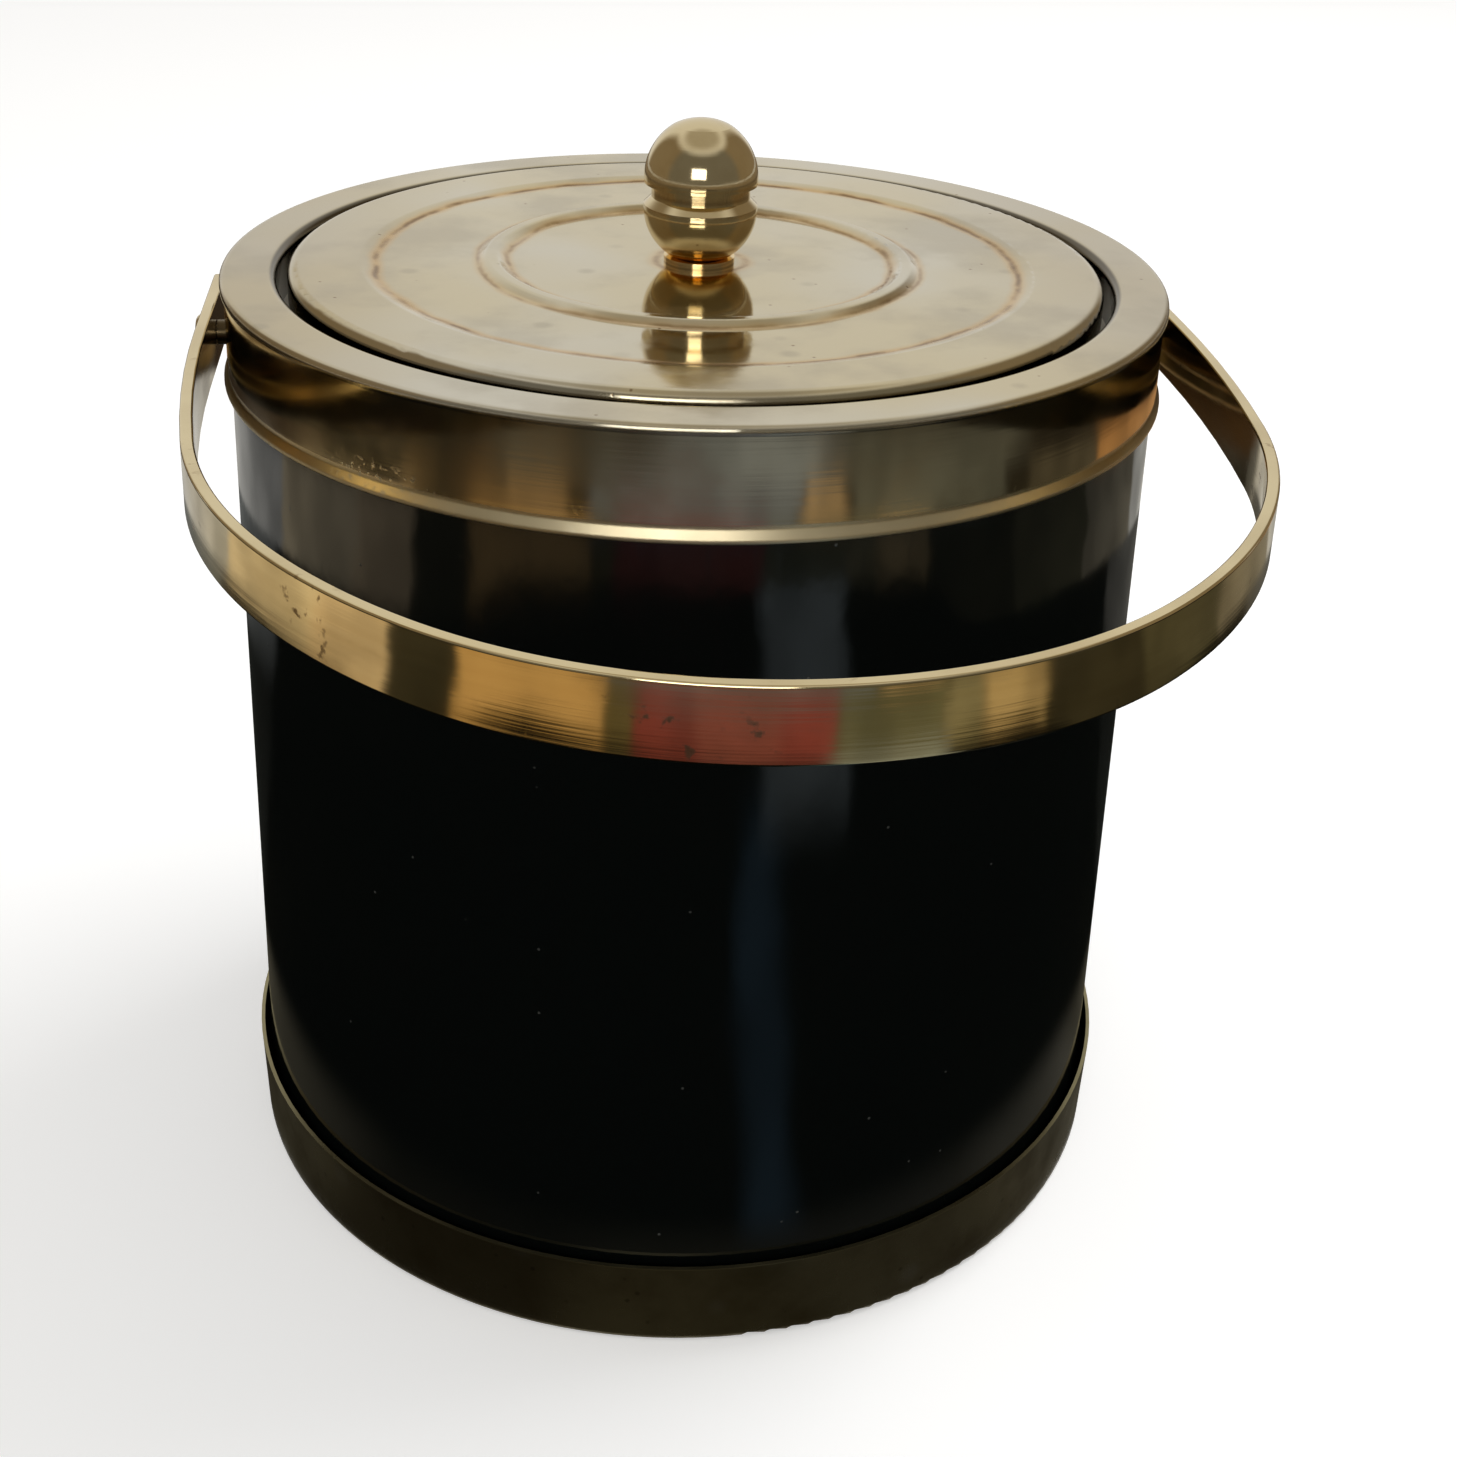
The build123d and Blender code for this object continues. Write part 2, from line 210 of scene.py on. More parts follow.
class BucketFinishes(bpy.types.PropertyGroup):
    """Colours and wear of the bucket's surfaces."""

    lacquer: colour("Lacquer", "Black stoving enamel of the body", "#060807")
    plate: colour("Plate", "Pale gold plate of the lid and rim", "#cfc9b9")
    brass: colour("Brass", "Polished brass of the handle and rivets", "#d9c79c")
    gold: colour("Gilding", "Warmer gold of the knob's foot", "#e6bf68")
    tarnish: colour("Tarnish", "Brown oxide in corners and worn patches", "#7a5a30")
    patina: colour("Patina", "Dark aged brass of the base pan", "#7f7860")
    ivory: colour("Liner", "Ivory polystyrene of the liner", "#e9e3d2")
    foam: colour("Insulation", "White expanded polystyrene", "#eeeeea")
    wear: FloatProperty(
        name="Wear", description="How strong the tarnish and pits are", min=0, max=1, default=1.0
    )


class BucketRim(bpy.types.PropertyGroup):
    """Sizes of the rim ring."""

    radius: size("Radius", "Outer edge", 100.0)
    top: size("Top", "Height of its flat face", 202.5)
    bottom: size("Bottom", "Foot of the turn-down in the mouth", 192.1)
    width: size("Width", "Outer edge to the mouth", 11.5)
    lip: size("Lip", "Height of the outer lip", 1.9)
    wall: size("Wall", "Sheet thickness", 0.6)
    lip_fold: size("Lip fold", "Outer radius of the fold over the lip", 1.2)
    mouth_fold: size("Mouth fold", "Outer radius of the fold into the mouth", 2.0)
    steps: IntProperty(name="Steps", description="Faces round the ring", min=24, default=480)


class BucketStrap(bpy.types.PropertyGroup):
    """Sizes of the strap handle."""

    width: size("Width", "Strap width", 13.2)
    wall: size("Wall", "Strap thickness", 2.4)
    edge_radius: size("Edge radius", "Rounding along the strap's edges", 0.5)
    corner_radius: size("Corner radius", "Rounding of the strap's end corners", 1.6)
    hole_radius: size("Hole radius", "Pivot hole", 1.66)
    tail: size("Tail", "End of the strap, behind the pivot", 21.0)
    straight: size("Straight", "Pivot to the first bend", 17.0)
    droop: FloatProperty(
        name="Droop",
        description="How far the strap stands below level at rest",
        subtype="ANGLE",
        default=radians(0.7),
    )


class BucketStage(bpy.types.PropertyGroup):
    """Light of the plain studio."""

    room: FloatProperty(name="Room", description="Light from the room", min=0, default=0.55)
    key: FloatProperty(
        name="Key", description="Power of the soft light", subtype="POWER", min=0, default=16.0
    )
    floor: colour("Floor", "Plain pale floor", "#f2f2f2")


# ---- stage ----
CAMERA_PLACE = (-0.04882, -0.42777, 0.32764)
CAMERA_DOWN, CAMERA_TURN, CAMERA_ROLL = radians(22.14), radians(-8.808), radians(2.418)
CAMERA_LENS, CAMERA_SHIFT = 51.24, (-0.0286, -0.1708)
LIGHT_TARGET = Vector((0, 0, 0.12))
KEY_PLACE, KEY_SIDE = (1.1, 0.5, 1.7), 1.0
WINDOW_PLACE, WINDOW_WIDTH, WINDOW_DEPTH = (-0.35, -1.7, 0.75), 0.9, 0.6
WINDOW_SHARE = 0.4  # of the key light's power
FLOOR_REACH, FLOOR_LEVEL = 4.0, -0.1 * MM
# the card starts outside the base pan's wall and lies above the floor
CARD_INNER, CARD_OUTER, CARD_LEVEL = 100.5 * MM, 2.5, 0.6 * MM


def add_mesh(name, points, faces):
    """Mesh object at the origin."""
    mesh = bpy.data.meshes.new(name)
    mesh.from_pydata(points, [], faces)
    piece = bpy.data.objects.new(name, mesh)
    bpy.context.scene.collection.objects.link(piece)
    return piece


def add_camera():
    """Camera above and a little left of the bucket's front."""
    data = bpy.data.cameras.new("camera")
    data.sensor_width = 36.0
    data.lens = CAMERA_LENS
    data.shift_x, data.shift_y = CAMERA_SHIFT
    data.clip_start = 0.01
    camera = bpy.data.objects.new("camera", data)
    turn = Euler((pi / 2 - CAMERA_DOWN, 0, CAMERA_TURN)).to_matrix()
    roll = Matrix.Rotation(CAMERA_ROLL, 3, "Z")
    camera.matrix_world = Matrix.Translation(CAMERA_PLACE) @ (turn @ roll).to_4x4()
    bpy.context.scene.collection.objects.link(camera)
    bpy.context.scene.camera = camera


def add_light(name, place, width, depth, power):
    """Soft white rectangular light that faces the bucket's middle."""
    data = bpy.data.lights.new(name, "AREA")
    data.shape = "RECTANGLE"
    data.size, data.size_y = width, depth
    data.energy = power
    light = bpy.data.objects.new(name, data)
    light.location = place
    towards = LIGHT_TARGET - Vector(place)
    light.rotation_euler = towards.to_track_quat("-Z", "Y").to_euler()
    bpy.context.scene.collection.objects.link(light)
    return light


def add_world(level):
    """White behind everything seen by the camera; a soft room for light and reflections."""
    world = bpy.data.worlds.new("studio")
    world.use_nodes = True
    tree = world.node_tree
    tree.nodes.clear()
    way = add_node(tree, "ShaderNodeTexCoord").outputs["Generated"]
    split = add_node(tree, "ShaderNodeSeparateXYZ", {0: way})
    across = add_node(tree, "ShaderNodeMath", {0: split.outputs["X"]}, operation="ABSOLUTE")

    def fade(value, low, high):
        """0 to 1 as value runs from low to high."""
        return add_node(
            tree,
            "ShaderNodeMapRange",
            {"Value": value, "From Min": low, "From Max": high},
            interpolation_type="SMOOTHSTEP",
        ).outputs[0]

    def both(first, second):
        """Product of two masks."""
        return add_node(
            tree, "ShaderNodeMath", {0: first, 1: second}, operation="MULTIPLY"
        ).outputs[0]

    # the limits are parts of a unit vector towards the wall, the front or the ceiling
    low = fade(split.outputs["Z"], 0.9, 0.7)
    front = both(fade(split.outputs["Y"], -0.1, -0.4), low)
    sides = both(fade(across.outputs[0], 0.42, 0.66), low)
    above = fade(split.outputs["Z"], 0.8, 0.95)
    room = linear("#e8e6e1")
    for mask, code in ((sides, "#8a7c66"), (front, "#77736a"), (above, "#b5aea0")):
        room = add_node(
            tree, "ShaderNodeMix", {0: mask, 6: room, 7: linear(code)}, data_type="RGBA"
        ).outputs[2]
    path = add_node(tree, "ShaderNodeLightPath")
    seen = add_node(tree, "ShaderNodeBackground", {"Color": (1, 1, 1, 1), "Strength": 1.0})
    mirrored = add_node(tree, "ShaderNodeBackground", {"Color": room, "Strength": 1.0})
    soft = add_node(
        tree, "ShaderNodeBackground", {"Color": linear("#fbf9f5"), "Strength": level}
    )
    other = add_node(
        tree,
        "ShaderNodeMixShader",
        {0: path.outputs["Is Glossy Ray"], 1: soft.outputs[0], 2: mirrored.outputs[0]},
    )
    final = add_node(
        tree,
        "ShaderNodeMixShader",
        {0: path.outputs["Is Camera Ray"], 1: other.outputs[0], 2: seen.outputs[0]},
    )
    add_node(tree, "ShaderNodeOutputWorld", {"Surface": final.outputs[0]})
    bpy.context.scene.world = world


def floor_material(tone):
    """Matt white paper: a diffuse floor, lifted a little where the camera sees it."""
    paper = Finish("floor_paper")
    path = add_node(paper.tree, "ShaderNodeLightPath")
    lift = paper.sum("MULTIPLY", path.outputs["Is Camera Ray"], 0.35)
    return paper.shader(
        Base_Color=tone,
        Roughness=0.95,
        Specular_IOR_Level=0.1,
        Emission_Color=(1, 1, 1, 1),
        Emission_Strength=lift,
    )


def card_material():
    """Table top and room that only reflections see: the body mirrors the part close to it."""
    card = Finish("reflection_card")
    tree = card.tree
    angle = card.sum("ARCTAN2", card.x, card.sum("MULTIPLY", card.y, -1.0))
    drift = card.mottle(60, 0.2, 0.8, detail=2.0)
    bend = card.ramp(drift, 0, 1, radians(-1.5), radians(1.5), smooth=False)
    angle = card.sum("ADD", angle, bend)
    wave = card.mottle(90, 0.35, 0.65, detail=1.0)

    def zone(shade, bands, soft):
        """Colour round the bucket: bands from one angle to the next, in degrees from the front."""
        for start, end, code in bands:
            mask = card.band(angle, radians(start), radians(end), radians(soft))
            shade = card.tint(mask, shade, linear(code))
        return shade

    # mirrored by the base pan, the lower and the upper body, the strap and the collar's two halves
    foot = zone(
        linear("#4e4a3e"), ((-60, -20, "#37332a"), (10, 40, "#56534a"), (45, 80, "#6b675b")), 8
    )
    near = zone(
        linear("#0c0d0b"), ((5, 13, "#4c6477"), (-180, -120, "#20211e"), (110, 180, "#20211e")), 3
    )
    far = zone(
        linear("#0f0f0d"), ((9, 27, "#a3adb0"), (-180, -118, "#6c6e6c"), (110, 180, "#5e5c56")), 2
    )
    strap = zone(
        linear("#3c382b"),
        (
            (-180, -112, "#c4c2bc"),
            (-114, -84, "#e2d0ae"),
            (-86, -69, "#e0c8a4"),
            (-54, -27, "#c8a26a"),
            (-27, -22, "#6b6040"),
            (-22, 9, "#8a4440"),
            (-13, 0, "#a05a55"),
            (9, 27, "#68674f"),
            (27, 33, "#8b8366"),
            (33, 46, "#bea67b"),
            (70, 98, "#56523f"),
            (96, 126, "#857d6b"),
            (124, 180, "#c4c1b8"),
        ),
        1.2,
    )
    low = zone(
        linear("#2e2a22"),
        (
            (-180, -100, "#33291f"),
            (-71, -62, "#6b5a40"),
            (-60, -50, "#5b4a36"),
            (-46, -33, "#8d7658"),
            (-28, 16, "#6f7682"),
            (17, 26, "#b89d78"),
            (28, 66, "#62645e"),
            (72, 99, "#565043"),
            (99, 180, "#b98a58"),
        ),
        1.5,
    )
    high = zone(
        linear("#2a2620"),
        (
            (-180, -90, "#3a2e24"),
            (-90, -50, "#2d2d28"),
            (-50, -10, "#565650"),
            (-12, 24, "#838b95"),
            (24, 70, "#5f605a"),
            (100, 180, "#6a4c30"),
        ),
        7,
    )
    # the strap's zone starts further out in front, where the body's cool glow reaches higher
    aside = card.ramp(card.sum("ABSOLUTE", angle, 0.0), radians(40), radians(62), 0.0, 58 * MM)
    reach = card.sum("ADD", card.radius, aside)
    # each zone takes over from the one before it between two distances in millimetres
    zones = (
        (card.radius, 118, 135, near),
        (card.radius, 270, 330, far),
        (reach, 458, 468, strap),
        (card.radius, 503, 520, low),
        (card.radius, 556, 572, high),
    )
    shade = foot
    for distance, start_mm, end_mm, colours in zones:
        shade = card.tint(card.ramp(distance, start_mm * MM, end_mm * MM), shade, colours)
    edge = card.ramp(card.radius, 625 * MM, 640 * MM)
    shade = card.tint(card.sum("MULTIPLY", edge, 0.75), shade, linear("#1b1814"))
    shade = card.tint(card.sum("MULTIPLY", wave, 0.3), shade, linear("#15140f"))
    room = card.ramp(card.radius, 800 * MM, 1500 * MM)
    shade = card.tint(room, shade, linear("#857762"))
    glow = add_node(tree, "ShaderNodeEmission", {"Color": shade, "Strength": 1.0})
    add_node(tree, "ShaderNodeOutputMaterial", {"Surface": glow.outputs[0]})
    return card.material


def add_ring(name, inner, outer, level, steps=96):
    """Flat ring round the axis."""
    turns = [2 * pi * i / steps for i in range(steps)]
    points = [(r * cos(t), r * sin(t), level) for r in (inner, outer) for t in turns]
    faces = [(i, i + steps, (i + 1) % steps + steps, (i + 1) % steps) for i in range(steps)]
    return add_mesh(name, points, faces)


class BUCKET_OT_stage(bpy.types.Operator):
    """Camera, floor, world and soft lights"""

    bl_idname = "bucket.stage"
    bl_label = "Stage"

    def execute(self, context):
        stage = context.scene.bucket_stage
        add_camera()
        add_world(stage.room)
        corners = [(-1, -1), (1, -1), (1, 1), (-1, 1)]
        points = [(x * FLOOR_REACH, y * FLOOR_REACH, FLOOR_LEVEL) for x, y in corners]
        floor = add_mesh("floor", points, [(0, 1, 2, 3)])
        floor.data.materials.append(floor_material(paint(stage, "floor")))
        card = add_ring("reflection_card", CARD_INNER, CARD_OUTER, CARD_LEVEL)
        card.data.materials.append(card_material())
        card.visible_camera = card.visible_diffuse = False
        card.visible_shadow = card.visible_transmission = False
        key = add_light("key", KEY_PLACE, KEY_SIDE, KEY_SIDE, stage.key)
        key.visible_glossy = False
        add_light("window", WINDOW_PLACE, WINDOW_WIDTH, WINDOW_DEPTH, stage.key * WINDOW_SHARE)
        bpy.context.scene.view_settings.view_transform = "Standard"
        return {"FINISHED"}


# ---- finishes ----
def lacquer_material(finishes):
    """Black stoving enamel on rolled steel: deep gloss with a faint orange peel and fine dust."""
    lacquer = Finish("stoving_enamel")
    peel = lacquer.mottle(6, 0.2, 0.8, detail=2.0, scale=(1, 1, 0.6))
    haze = lacquer.mottle(45, 0.3, 0.7, detail=4.0)
    dust = lacquer.specks(3.5, 0.16, 0.12)
    rub = lacquer.mottle(2.0, 0.55, 0.8, detail=5.0, scale=(1, 1, 0.12))
    base = lacquer.tint(dust, paint(finishes, "lacquer"), linear("#3a3b38"))
    gloss = lacquer.ramp(haze, 0, 1, 0.055, 0.11, smooth=False)
    rough = lacquer.sum("ADD", gloss, lacquer.sum("MULTIPLY", rub, 0.05))
    return lacquer.shader(
        Base_Color=base,
        Roughness=rough,
        IOR=1.5,
        Normal=lacquer.relief((peel, 0.012), (dust, 0.02)),
    )


def plate_material(finishes):
    """Pale gold plate on spun steel: a mirror with grey clouds, smudges and brown lines."""
    plate = Finish("gold_plate")
    wear = finishes.wear
    drift = plate.mottle(60, 0.35, 0.65, detail=2.0)
    cloud = plate.mottle(24, 0.46, 0.72, detail=6.0)
    bloom = plate.mottle(9, 0.5, 0.75, detail=6.0)
    smudge = plate.specks(9, 0.22, 0.3)
    pits = plate.specks(3.6, 0.16, 0.14)
    wander = plate.mottle(14, 0.2, 0.8, detail=3.0)
    stray = plate.ramp(wander, 0, 1, -0.6 * MM, 0.6 * MM, smooth=False)
    ragged = plate.sum("ADD", plate.radius, stray)
    halo = core = 0.0
    # golden brown lines beside the ridge, at the border's slope and round the foot:
    # radius, half width and strength
    lines = ((41.0, 2.0, 0.75), (47.4, 1.8, 0.6), (68.6, 2.4, 0.9), (9.6, 3.0, 0.6))
    for centre_mm, half_mm, level in lines:
        wide = plate.line(ragged, centre_mm * MM, half_mm * MM)
        thin = plate.line(ragged, centre_mm * MM, half_mm * 0.45 * MM)
        halo = plate.sum("MAXIMUM", halo, plate.sum("MULTIPLY", wide, level))
        core = plate.sum("MAXIMUM", core, plate.sum("MULTIPLY", thin, level))
    on_top = plate.sum("MULTIPLY", plate.ramp(plate.z, 202.5 * MM, 202.7 * MM), wear)
    halo = plate.sum("MULTIPLY", halo, on_top)
    broken = plate.mottle(8, 0.3, 0.62, detail=5.0)
    core = plate.sum("MULTIPLY", plate.sum("MULTIPLY", core, broken), on_top)
    marks = plate.sum("MULTIPLY", plate.sum("MULTIPLY", pits, 0.8), wear)
    # painted shade on the rim ring's fold into the mouth, where the gap between lid and ring lies
    # in shade
    fold = plate.sum(
        "MULTIPLY",
        plate.ramp(plate.radius, 90.2 * MM, 89.4 * MM),
        plate.ramp(plate.radius, 87.2 * MM, 87.6 * MM),
    )
    warm = plate.tint(drift, paint(finishes, "plate"), linear("#cdc09f"))
    # painted shade: the left and right sides are tinted darker, standing in for the darker
    # reflections there
    sides = plate.ramp(plate.sum("ABSOLUTE", plate.x, 0.0), 45 * MM, 95 * MM, 0.0, 0.55)
    warm = plate.tint(sides, warm, linear("#ac9c7c"))
    grey = plate.tint(plate.sum("MULTIPLY", cloud, 0.5), warm, linear("#a59b85"))
    grey = plate.tint(plate.sum("MULTIPLY", smudge, 0.35), grey, linear("#8f8670"))
    gilt = plate.tint(plate.sum("MULTIPLY", halo, 0.75), grey, linear("#cda566"))
    base = plate.tint(plate.sum("MAXIMUM", core, marks), gilt, paint(finishes, "tarnish"))
    # painted shade: the fold into the mouth is tinted dark brown
    base = plate.tint(plate.sum("MULTIPLY", fold, 0.85), base, linear("#3a3226"))
    rough = plate.ramp(cloud, 0, 1, 0.07, 0.16, smooth=False)
    rough = plate.sum("ADD", rough, plate.sum("MULTIPLY", bloom, 0.07))
    rough = plate.sum("ADD", rough, plate.sum("MULTIPLY", halo, 0.15))
    return plate.shader(
        Base_Color=base,
        Metallic=1.0,
        Roughness=rough,
        Normal=plate.relief((cloud, 0.015), (pits, -0.03), normal=plate.rounded(0.7)),
    )


def collar_material():
    """Pale plated brass sheet, polished bright: worn specks over a duller bead, whose colour is
    painted paler as a painted reflection of the bright ceiling.
    """
    collar = Finish("rolled_brass")
    cloud = collar.mottle(18, 0.35, 0.7, detail=5.0)
    brush = collar.mottle(0.7, 0.25, 0.75, detail=2.0, scale=(0.02, 0.02, 1))
    low = collar.ramp(collar.z, 188.5 * MM, 183.8 * MM)
    frost = collar.sum("MULTIPLY", collar.mottle(1.3, 0.56, 0.66, detail=4.0), low)
    patch = collar.mottle(34, 0.5, 0.68, detail=2.0)
    frost = collar.sum("MULTIPLY", frost, patch)
    # the bead below 183.9 mm: rougher, and painted paler as a painted reflection of the bright
    # ceiling
    bead = collar.ramp(collar.z, 183.9 * MM, 183.3 * MM)
    tone = collar.tint(
        collar.sum("MULTIPLY", cloud, 0.4), linear("#d3c4a2"), linear("#bda986")
    )
    # painted reflection: the bead's paler colour
    tone = collar.tint(bead, tone, linear("#e6d7b2"))
    base = collar.tint(collar.sum("MULTIPLY", frost, 0.6), tone, linear("#e9e2cc"))
    rough = collar.ramp(cloud, 0, 1, 0.08, 0.16, smooth=False)
    rough = collar.sum("ADD", rough, collar.sum("MULTIPLY", frost, 0.35))
    rough = collar.sum("ADD", rough, collar.sum("MULTIPLY", bead, 0.22))
    return collar.shader(
        Base_Color=base,
        Metallic=1.0,
        Roughness=rough,
        Normal=collar.relief((brush, 0.0015), (frost, 0.01), normal=collar.rounded(0.5)),
    )


def pan_material(finishes):
    """Spun brass gone dark with age: satin brown with grey spots and a brighter band along its top
    edge.
    """
    pan = Finish("aged_brass")
    cloud = pan.mottle(22, 0.35, 0.68, detail=6.0)
    brush = pan.mottle(0.8, 0.25, 0.75, detail=2.0, scale=(0.03, 0.03, 1))
    spots = pan.specks(13, 0.35, 0.3)
    specks = pan.specks(3.0, 0.3, 0.25)
    # the top edge is tinted brighter
    rim = pan.ramp(pan.z, 19.2 * MM, 19.6 * MM)
    tone = pan.tint(cloud, paint(finishes, "patina"), linear("#5c5238"))
    tone = pan.tint(pan.sum("MULTIPLY", spots, 0.45), tone, linear("#8e8b80"))
    tone = pan.tint(pan.sum("MULTIPLY", specks, 0.5), tone, linear("#3a3222"))
    base = pan.tint(rim, tone, linear("#8f8768"))
    rough = pan.ramp(cloud, 0, 1, 0.24, 0.4, smooth=False)
    return pan.shader(
        Base_Color=base,
        Metallic=1.0,
        Roughness=rough,
        Normal=pan.relief((brush, 0.006), (spots, 0.02)),
    )


def strap_material(finishes, droop):
    """Drawn brass bar, brushed along its length: long fine streaks and a few brown blotches."""
    strap = Finish("brushed_brass")
    level = (-droop, 0, 0)
    fine = strap.mottle(0.55, 0.25, 0.75, detail=3.0, scale=(0.012, 0.012, 1), turn=level)
    coarse = strap.mottle(2.2, 0.3, 0.7, detail=3.0, scale=(0.03, 0.03, 1), turn=level)
    cloud = strap.mottle(24, 0.4, 0.66, detail=5.0, scale=(1, 1, 2))
    blots = strap.sum(
        "MULTIPLY", strap.mottle(2.6, 0.6, 0.7, detail=5.0), strap.mottle(26, 0.52, 0.66)
    )
    tone = strap.tint(
        strap.sum("MULTIPLY", cloud, 0.4), paint(finishes, "brass"), linear("#b8a378")
    )
    tone = strap.tint(strap.sum("MULTIPLY", coarse, 0.18), tone, linear("#f0e3bd"))
    base = strap.tint(strap.sum("MULTIPLY", blots, 0.75), tone, paint(finishes, "tarnish"))
    rough = strap.ramp(cloud, 0, 1, 0.07, 0.12, smooth=False)
    rough = strap.sum("ADD", rough, strap.sum("MULTIPLY", blots, 0.2))
    return strap.shader(
        Base_Color=base,
        Metallic=1.0,
        Roughness=rough,
        Normal=strap.relief((fine, 0.0015), (coarse, 0.003)),
    )


def knob_material(finishes):
    """Turned brass, polished and clear lacquered: bright with fine turning rings and haze."""
    knob = Finish("turned_brass")
    rings = knob.mottle(0.35, 0.3, 0.7, detail=1.0, scale=(0.02, 0.02, 1))
    haze = knob.mottle(7, 0.4, 0.7, detail=5.0)
    pits = knob.specks(1.8, 0.12, 0.2)
    groove = knob.line(knob.z, 217.8 * MM, 0.8 * MM)
    neck = knob.ramp(knob.z, 207.0 * MM, 205.0 * MM)
    tone = knob.tint(knob.sum("MULTIPLY", haze, 0.4), linear("#d8c7a0"), linear("#bfa97d"))
    tone = knob.tint(neck, tone, paint(finishes, "gold"))
    dirt = knob.sum("MAXIMUM", knob.sum("MULTIPLY", groove, 0.35), knob.sum("MULTIPLY", pits, 0.6))
    base = knob.tint(dirt, tone, paint(finishes, "tarnish"))
    rough = knob.ramp(haze, 0, 1, 0.07, 0.14, smooth=False)
    return knob.shader(
        Base_Color=base,
        Metallic=1.0,
        Roughness=rough,
        Normal=knob.relief((rings, 0.0015), (pits, -0.01)),
    )


def foot_material(finishes):
    """Gilt washer under the knob: pale warm gold, a little brown where it meets the lid."""
    foot = Finish("gilt_foot")
    haze = foot.mottle(3, 0.4, 0.7, detail=4.0)
    seam = foot.ramp(foot.z, 203.2 * MM, 202.8 * MM)
    base = foot.tint(foot.sum("MULTIPLY", haze, 0.4), linear("#e8d3a8"), paint(finishes, "gold"))
    base = foot.tint(foot.sum("MULTIPLY", seam, 0.5), base, paint(finishes, "tarnish"))
    return foot.shader(
        Base_Color=base,
        Metallic=1.0,
        Roughness=foot.ramp(haze, 0, 1, 0.12, 0.2, smooth=False),
        Normal=foot.relief((haze, 0.004)),
    )


def rivet_material(finishes):
    """Headed brass pins: tumbled smooth outside, with painted shade between strap and collar."""
    rivet = Finish("headed_brass")
    haze = rivet.mottle(2.2, 0.35, 0.7, detail=5.0)
    pits = rivet.specks(1.1, 0.2, 0.25)
    # painted shade: the pins and spacers inside the strap, between it and the collar, are tinted
    # dark brown
    inner = rivet.ramp(rivet.sum("ABSOLUTE", rivet.x, 0.0), 102.2 * MM, 101.6 * MM)
    base = rivet.tint(rivet.sum("MULTIPLY", haze, 0.5), paint(finishes, "brass"), linear("#a88c58"))
    base = rivet.tint(rivet.sum("MULTIPLY", inner, 0.85), base, linear("#3b2f22"))
    base = rivet.tint(rivet.sum("MULTIPLY", pits, 0.7), base, paint(finishes, "tarnish"))
    return rivet.shader(
        Base_Color=base,
        Metallic=1.0,
        Roughness=rivet.ramp(haze, 0, 1, 0.2, 0.34, smooth=False),
        Normal=rivet.relief((haze, 0.01), (pits, -0.01)),
    )


def ivory_material(finishes):
    """Vacuum formed polystyrene: milky satin with a faint ripple and light scuffs."""
    ivory = Finish("ivory_polystyrene")
    ripple = ivory.mottle(16, 0.3, 0.7, detail=2.0)
    scuffs = ivory.mottle(1.2, 0.6, 0.75, detail=5.0, scale=(1, 1, 0.2))
    base = ivory.tint(
        ivory.sum("MULTIPLY", ripple, 0.35), paint(finishes, "ivory"), linear("#ded6c1")
    )
    rough = ivory.ramp(scuffs, 0, 1, 0.3, 0.48, smooth=False)
    return ivory.shader(
        Base_Color=base,
        Roughness=rough,
        IOR=1.59,
        Subsurface_Weight=0.08,
        Subsurface_Scale=2 * MM,
        Normal=ivory.relief((ripple, 0.03), (scuffs, -0.006)),
    )


def foam_material(finishes):
    """Expanded polystyrene: matt white beads pressed together."""
    foam = Finish("expanded_polystyrene")
    cells = add_node(
        foam.tree, "ShaderNodeTexVoronoi", {"Vector": foam.place, "Scale": per_mm(3.2)}
    ).outputs["Distance"]
    bead = foam.ramp(cells, 0.75, 0.1)
    base = foam.tint(bead, linear("#d9d9d4"), paint(finishes, "foam"))
    return foam.shader(
        Base_Color=base, Roughness=0.85, IOR=1.45, Normal=foam.relief((bead, 0.25))
    )


def steel_material():
    """Zinc plated steel fixings: bluish grey, finely grained."""
    steel = Finish("zinc_plated_steel")
    grain = steel.mottle(0.8, 0.3, 0.7, detail=4.0)
    stain = steel.mottle(4, 0.5, 0.7, detail=4.0)
    base = steel.tint(steel.sum("MULTIPLY", stain, 0.5), linear("#c3c8cc"), linear("#9a988f"))
    return steel.shader(
        Base_Color=base,
        Metallic=1.0,
        Roughness=steel.ramp(grain, 0, 1, 0.28, 0.42, smooth=False),
        Normal=steel.relief((grain, 0.01)),
    )


def insert_material():
    """Machined brass insert: clean yellow brass with lathe marks."""
    insert = Finish("machined_brass")
    marks = insert.mottle(0.4, 0.3, 0.7, detail=1.0, scale=(0.05, 0.05, 1))
    haze = insert.mottle(3, 0.4, 0.7, detail=4.0)
    base = insert.tint(insert.sum("MULTIPLY", haze, 0.4), linear("#dcc07c"), linear("#b7954f"))
    return insert.shader(
        Base_Color=base,
        Metallic=1.0,
        Roughness=insert.ramp(haze, 0, 1, 0.22, 0.34, smooth=False),
        Normal=insert.relief((marks, 0.01)),
    )


class BUCKET_OT_body(bpy.types.Operator):
    """Black lacquer on the outer sleeve"""

    bl_idname = "bucket.body"
    bl_label = "Body lacquer"

    def execute(self, context):
        dress(lacquer_material(context.scene.bucket_finishes), "outer_sleeve")
        return {"FINISHED"}


FOLD_MARGIN = 0.1 * MM
RIM_CREASE = radians(35)


def corner_arc(corner, back, onward, radius, steps=10):
    """Points that round a corner, with one more on each straight line to keep it flat."""
    middle = corner + radius * (back + onward)
    turns = [pi / 2 * i / steps for i in range(steps + 1)]
    arc = [middle - radius * (onward * cos(turn) + back * sin(turn)) for turn in turns]
    return [arc[0] + back * FOLD_MARGIN, *arc, arc[-1] + onward * FOLD_MARGIN]


